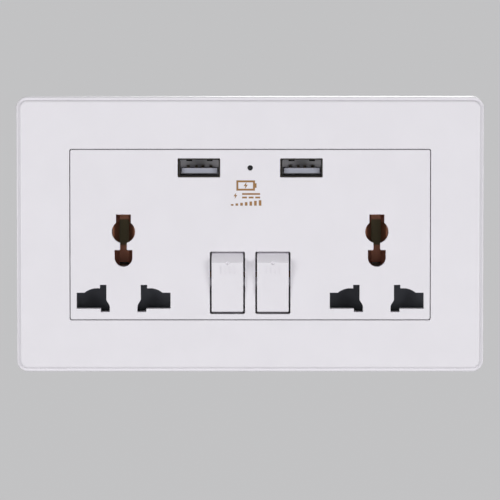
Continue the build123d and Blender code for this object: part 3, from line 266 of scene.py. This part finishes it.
def banded(name, colour, band, pitch, roughness):
    """Wound tape or wire: fine bands round the part."""
    material, nodes, links, shader, coords = new_material(name)
    waves = nodes.new("ShaderNodeTexWave")
    waves.bands_direction = "Y"
    waves.inputs["Scale"].default_value = 1 / (pitch * 20)
    waves.inputs["Distortion"].default_value = 0.4
    links.new(coords, waves.inputs["Vector"])
    links.new(
        blend_colours(nodes, links, waves.outputs["Fac"], colour, band, 0.4, 0.9),
        shader.inputs["Base Color"],
    )
    shader.inputs["Roughness"].default_value = roughness
    bump(nodes, links, shader, waves.outputs["Fac"], 0.02 * MM)
    return material


def smoked_lens(name):
    """Dark smoked plastic of the light pipe."""
    material, nodes, links, shader, coords = new_material(name)
    clouds = noise(nodes, links, coords, 1.5 * MM)
    links.new(
        blend_colours(nodes, links, clouds, (0.012, 0.012, 0.013), (0.022, 0.022, 0.024)),
        shader.inputs["Base Color"],
    )
    shader.inputs["Roughness"].default_value = 0.6
    shader.inputs["Specular IOR Level"].default_value = 0.2
    return material


COPPER = (0.45, 0.25, 0.16)
BRASS = (0.68, 0.5, 0.22)
ZINC = (0.55, 0.56, 0.57)
# The USB shell's nickel is coloured far darker than bare nickel: painted shade of the recessed port
# mouths
NICKEL_IN_PAINTED_SHADE = (0.048, 0.045, 0.043)

materials = {
    "white_frame": moulded_plastic("white_frame", WHITE, 0.38, mottle=0.008),
    "white_panel": moulded_plastic("white_panel", WHITE, 0.4, mottle=0.008),
    "white_rocker": moulded_plastic("white_rocker", shade(WHITE, 1.03), 0.33, mottle=0.008),
    "housing_plastic": moulded_plastic(
        "housing_plastic", (0.62, 0.62, 0.6), 0.55, grain=0.4 * MM, depth=0.01 * MM, mottle=0.015
    ),
    "inner_plastic": moulded_plastic("inner_plastic", (0.58, 0.55, 0.48), 0.5, mottle=0.05),
    "black_shutter": moulded_plastic("black_shutter", (0.068, 0.072, 0.083), 0.4, mottle=0.2),
    "component_black": moulded_plastic("component_black", (0.012, 0.012, 0.013), 0.5, mottle=0.2),
    "component_blue": moulded_plastic("component_blue", (0.015, 0.07, 0.3), 0.3, mottle=0.08),
    "capacitor_sleeve": moulded_plastic("capacitor_sleeve", (0.01, 0.01, 0.016), 0.3, mottle=0.15),
    # The port insulator's colour is graded by depth along Y: painted shading of the port cavity,
    # darker blue-grey at the front and paler further in
    "port_insulator": painted_depth_shading(
        "port_insulator", (0.36, 0.37, 0.43), (0.57, 0.56, 0.59), -7 * MM, 0.0, 0.0, 0.42
    ),
    "indicator": moulded_plastic("indicator", (0.65, 0.64, 0.5), 0.25, mottle=0.03),
    "ferrite": moulded_plastic(
        "ferrite", (0.02, 0.02, 0.022), 0.6, grain=0.2 * MM, depth=0.02 * MM, mottle=0.3
    ),
    "zinc_steel": plated_metal("zinc_steel", ZINC, shade(ZINC, 0.8), 0.36),
    "zinc_screws": plated_metal("zinc_screws", ZINC, shade(ZINC, 0.75), 0.3),
    "copper_strip": rolled_metal("copper_strip", COPPER, shade(COPPER, 0.6), 0.3),
    "terminal_brass": rolled_metal("terminal_brass", BRASS, shade(BRASS, 0.75), 0.3, along="Y"),
    "spring_steel": rolled_metal("spring_steel", ZINC, shade(ZINC, 0.7), 0.3),
    "plated_shell": rolled_metal("plated_shell", NICKEL_IN_PAINTED_SHADE, shade(NICKEL_IN_PAINTED_SHADE, 0.8), 0.42, along="X"),
    # The port contacts are coloured far darker than gold: painted shade of the pockets at the top
    # of the port tongue
    "port_contacts": rolled_metal(
        "port_contacts", (0.16, 0.12, 0.07), (0.1, 0.07, 0.04), 0.4, along="Y"
    ),
    "circuit_board": circuit_board("circuit_board"),
    "winding_tape": banded("winding_tape", (0.68, 0.44, 0.02), (0.5, 0.3, 0.01), 0.3 * MM, 0.35),
    "smoked_light_pipe": smoked_lens("smoked_light_pipe"),
}

for part in frame["record"]["subparts"]:
    mesh = frame["nodes"][part["node"]].data
    mesh.materials.clear()
    mesh.materials.append(materials[part["material_slot"]])

# The earth contacts are copper alloy with painted shade that deepens further into the slot, redder
# above and below a band of heights
BRONZE_RED = (0.6, 0.26, 0.17)
BRONZE_BAND = (-4.8 * MM, 3.4 * MM)
bronze_with_painted_shade = painted_depth_shading(
    "bronze_with_painted_shade", (0.4, 0.17, 0.1), (0.17, 0.14, 0.08), -2 * MM, 9 * MM, 0.3, 0.45
)
tinted_ends(bronze_with_painted_shade, BRONZE_RED, *BRONZE_BAND)
for side in ("left", "right"):
    frame["nodes"][f"earth_contact_{side}"].data.materials[0] = bronze_with_painted_shade


# Printed marks on the panel

INK_THICKNESS = 0.03 * MM
printed_ink = moulded_plastic("printed_ink", (0.32, 0.165, 0.055), 0.6, mottle=0.12)
plate_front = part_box("front_frame")[0].y


def new_object(name, builder):
    """An object from a filled bmesh builder, with its faces turned outwards."""
    bmesh.ops.recalc_face_normals(builder, faces=builder.faces)
    mesh = bpy.data.meshes.new(name)
    builder.to_mesh(mesh)
    builder.free()
    obj = bpy.data.objects.new(name, mesh)
    bpy.context.scene.collection.objects.link(obj)
    return obj


SQUARE = ((-1, -1), (1, -1), (1, 1), (-1, 1))


def rectangle(x, z, width, height):
    """Corners of a rectangle about a middle, in millimetres."""
    return [(x + sign_x * width / 2, z + sign_z * height / 2) for sign_x, sign_z in SQUARE]


# A lightning bolt one millimetre high, about its middle
BOLT_CORNERS = (
    (0.12, 0.5),
    (-0.3, -0.08),
    (-0.04, -0.08),
    (-0.12, -0.5),
    (0.3, 0.1),
    (0.04, 0.1),
)


def bolt(x, z, size):
    """Corners of a lightning bolt about a middle, `size` millimetres high."""
    return [(x + size * u, z + size * v) for u, v in BOLT_CORNERS]


def printed(name, outlines):
    """A thin layer of ink in the given outlines, at the front of the plate."""
    builder = bmesh.new()
    for outline in outlines:
        back = [builder.verts.new((x * MM, plate_front, z * MM)) for x, z in outline]
        face = builder.faces.new(back)
        raised = bmesh.ops.extrude_face_region(builder, geom=[face])["geom"]
        corners = [item for item in raised if isinstance(item, bmesh.types.BMVert)]
        bmesh.ops.translate(builder, verts=corners, vec=(0, -INK_THICKNESS, 0))
    obj = new_object(name, builder)
    obj.data.materials.append(printed_ink)
    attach(obj, "socket")


BATTERY_MIDDLE = (-1.4, 15.4)
BATTERY_WIDTH = 5.8
BATTERY_HEIGHT = 3.2
BATTERY_LINE = 0.6
BATTERY_TIP = (0.5, 1.4)
BATTERY_BOLT = 2.2
battery_x, battery_z = BATTERY_MIDDLE
printed(
    "print_battery",
    [
        rectangle(
            battery_x,
            battery_z + side * (BATTERY_HEIGHT - BATTERY_LINE) / 2,
            BATTERY_WIDTH,
            BATTERY_LINE,
        )
        for side in (-1, 1)
    ]
    + [
        rectangle(
            battery_x + side * (BATTERY_WIDTH - BATTERY_LINE) / 2,
            battery_z,
            BATTERY_LINE,
            BATTERY_HEIGHT - 2 * BATTERY_LINE,
        )
        for side in (-1, 1)
    ]
    + [
        rectangle(battery_x + (BATTERY_WIDTH + BATTERY_TIP[0]) / 2, battery_z, *BATTERY_TIP),
        bolt(battery_x, battery_z, BATTERY_BOLT),
    ],
)

SUPPLY_HEIGHT = 12.2
SUPPLY_MIDDLE = 0.3
SUPPLY_WIDTH = 5.6
SUPPLY_LINE = 0.55
SUPPLY_GAP = 1.1
DASH_PITCH = 2.05
DASH = 1.5
SUPPLY_BOLT_PLACE = -4.6
SUPPLY_BOLT = 1.9
printed(
    "print_direct_current",
    [
        bolt(SUPPLY_BOLT_PLACE, SUPPLY_HEIGHT, SUPPLY_BOLT),
        rectangle(SUPPLY_MIDDLE, SUPPLY_HEIGHT + SUPPLY_GAP / 2, SUPPLY_WIDTH, SUPPLY_LINE),
    ]
    + [
        rectangle(
            SUPPLY_MIDDLE + place * DASH_PITCH,
            SUPPLY_HEIGHT - SUPPLY_GAP / 2,
            DASH,
            SUPPLY_LINE,
        )
        for place in (-1, 0, 1)
    ],
)

LEVEL_FOOT = 9.1
LEVEL_PITCH = 1.45
LEVEL_WIDTH = 0.8
LEVEL_COUNT = 7
LEVEL_MIDDLE = -1.25
LEVEL_LOWEST = 0.5
LEVEL_STEP = 0.2
printed(
    "print_level_bars",
    [
        rectangle(
            LEVEL_MIDDLE + (place - (LEVEL_COUNT - 1) / 2) * LEVEL_PITCH,
            LEVEL_FOOT + (LEVEL_LOWEST + LEVEL_STEP * place) / 2,
            LEVEL_WIDTH,
            LEVEL_LOWEST + LEVEL_STEP * place,
        )
        for place in range(LEVEL_COUNT)
    ],
)


# Shutter springs: round wire coils with closed end turns

SPRING_WIRE = 0.4 * MM
SPRING_TURNS = 7.5
STEPS_PER_TURN = 24
WIRE_SIDES = 8


def spring_height(turn, low, high):
    """Height of the wire's middle after a number of turns: closed end turns, open between."""
    closed = SPRING_WIRE
    pitch = (high - low - 3 * closed) / (SPRING_TURNS - 2)
    if turn < 1:
        return low + closed / 2 + turn * closed
    if turn > SPRING_TURNS - 1:
        return high - closed / 2 - (SPRING_TURNS - turn) * closed
    return low + 1.5 * closed + (turn - 1) * pitch


def spring(name, low, high):
    """A coil between two opposite corners of its box."""
    middle_x, middle_y = (low.x + high.x) / 2, (low.y + high.y) / 2
    radius = (high.x - low.x - SPRING_WIRE) / 2
    builder = bmesh.new()
    rings = []
    steps = int(SPRING_TURNS * STEPS_PER_TURN)
    for step in range(steps + 1):
        turn = step / STEPS_PER_TURN
        angle = 2 * math.pi * turn
        height = spring_height(turn, low.z, high.z)
        ring = []
        for side in range(WIRE_SIDES):
            around = 2 * math.pi * side / WIRE_SIDES
            reach = radius + SPRING_WIRE / 2 * math.cos(around)
            ring.append(
                builder.verts.new(
                    (
                        middle_x + reach * math.cos(angle),
                        middle_y + reach * math.sin(angle),
                        height + SPRING_WIRE / 2 * math.sin(around),
                    )
                )
            )
        rings.append(ring)
    for first, second in zip(rings, rings[1:]):
        for side in range(WIRE_SIDES):
            after = (side + 1) % WIRE_SIDES
            builder.faces.new((first[side], first[after], second[after], second[side]))
    builder.faces.new(rings[0])
    builder.faces.new(rings[-1])
    obj = new_object(name, builder)
    for polygon in obj.data.polygons:
        polygon.use_smooth = len(polygon.vertices) == 4
    obj.data.materials.append(materials["spring_steel"])
    return obj


for side in ("left", "right"):
    low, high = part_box(f"shutter_spring_{side}")
    coil = spring(f"coil_{side}", low, high)
    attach(coil, "socket")
    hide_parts(f"shutter_spring_{side}")
    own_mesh(coil)


# Camera


def aim(obj, target):
    """Turns an object so that its -Z looks at a point, with Z up in the picture."""
    obj.rotation_euler = (Vector(target) - obj.location).to_track_quat("-Z", "Y").to_euler()


image_middle = IMAGE_SIZE / 2
aim_x = (image_middle - PLATE_MIDDLE_PIXEL[0]) / PIXELS_PER_MM * MM
aim_z = (PLATE_MIDDLE_PIXEL[1] - image_middle) / PIXELS_PER_MM * MM
tilt = math.radians(CAMERA_ELEVATION)
camera_data = bpy.data.cameras.new("camera")
camera = bpy.data.objects.new("camera", camera_data)
bpy.context.scene.collection.objects.link(camera)
camera_data.sensor_fit = "HORIZONTAL"
camera_data.sensor_width = SENSOR
camera_data.lens = SENSOR * CAMERA_DISTANCE / (IMAGE_SIZE / PIXELS_PER_MM * MM)
camera_data.clip_start = 0.01
camera.location = (
    aim_x,
    plate_front - CAMERA_DISTANCE * math.cos(tilt),
    aim_z + CAMERA_DISTANCE * math.sin(tilt),
)
aim(camera, (aim_x, plate_front, aim_z))
bpy.context.scene.camera = camera


# Floor and light

FLOOR_DROP = 0.5
FLOOR_SIZE = 60.0
FLOOR_COLOUR = (0.5, 0.5, 0.505)
PALE = (0.75, 0.75, 0.76)
PALE_SHARE = 0.65
WORLD_LEVEL = 0.3

# What the far floor looks like, which the world goes on with above it
BACKDROP = [
    PALE_SHARE * pale + (1 - PALE_SHARE) * WORLD_LEVEL * own
    for pale, own in zip(PALE, FLOOR_COLOUR)
]


def shows_background(nodes, links):
    """1 for rays from the camera, off a shiny surface or through glass, and 0 for others."""
    rays = nodes.new("ShaderNodeLightPath")
    shown = rays.outputs["Is Camera Ray"]
    for kind in ("Is Glossy Ray", "Is Transmission Ray"):
        either = nodes.new("ShaderNodeMath")
        either.operation = "MAXIMUM"
        links.new(shown, either.inputs[0])
        links.new(rays.outputs[kind], either.inputs[1])
        shown = either.outputs["Value"]
    return shown


floor_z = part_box("front_frame")[0].z - FLOOR_DROP
builder = bmesh.new()
builder.faces.new(
    [builder.verts.new((x * FLOOR_SIZE, y * FLOOR_SIZE, floor_z)) for x, y in SQUARE]
)
floor = new_object("floor", builder)
floor_material, nodes, links, shader, coords = new_material("floor")
shader.inputs["Base Color"].default_value = (*FLOOR_COLOUR, 1.0)
shader.inputs["Roughness"].default_value = 0.9
shader.inputs["Specular IOR Level"].default_value = 0.0
output = nodes["Material Output"]
pale = nodes.new("ShaderNodeEmission")
pale.inputs["Color"].default_value = (*PALE, 1.0)
seen = nodes.new("ShaderNodeMath")
seen.operation = "MULTIPLY"
seen.inputs[1].default_value = PALE_SHARE
links.new(shows_background(nodes, links), seen.inputs[0])
mixed = nodes.new("ShaderNodeMixShader")
links.new(seen.outputs["Value"], mixed.inputs["Fac"])
links.new(shader.outputs["BSDF"], mixed.inputs[1])
links.new(pale.outputs["Emission"], mixed.inputs[2])
links.new(mixed.outputs["Shader"], output.inputs["Surface"])
floor.data.materials.append(floor_material)

world = bpy.data.worlds.new("studio")
world.use_nodes = True
nodes, links = world.node_tree.nodes, world.node_tree.links
ambient = nodes["Background"]
ambient.inputs["Color"].default_value = (1.0, 1.0, 1.0, 1.0)
ambient.inputs["Strength"].default_value = WORLD_LEVEL
shown = nodes.new("ShaderNodeBackground")
shown.inputs["Color"].default_value = (*BACKDROP, 1.0)
shown.inputs["Strength"].default_value = 1.0
mixed = nodes.new("ShaderNodeMixShader")
links.new(shows_background(nodes, links), mixed.inputs["Fac"])
links.new(ambient.outputs["Background"], mixed.inputs[1])
links.new(shown.outputs["Background"], mixed.inputs[2])
links.new(mixed.outputs["Shader"], nodes["World Output"].inputs["Surface"])
bpy.context.scene.world = world


def area_light(name, place, size, power):
    """A soft rectangular lamp that looks at the plate."""
    data = bpy.data.lights.new(name, "AREA")
    data.shape = "RECTANGLE"
    data.size, data.size_y = size
    data.energy = power
    lamp = bpy.data.objects.new(name, data)
    bpy.context.scene.collection.objects.link(lamp)
    lamp.location = place
    aim(lamp, (0.0, 0.0, 0.0))


area_light("left_lamp", (-1.3, -1.2, 0.05), (0.7, 0.5), 12.8)
area_light("right_lamp", (1.3, -1.2, 0.05), (0.7, 0.5), 12.8)
area_light("front_lamp", (0.0, -1.8, -0.1), (0.6, 0.5), 2.8)
area_light("back_lamp", (0.5, 1.5, 0.7), (1.2, 0.9), 16.0)
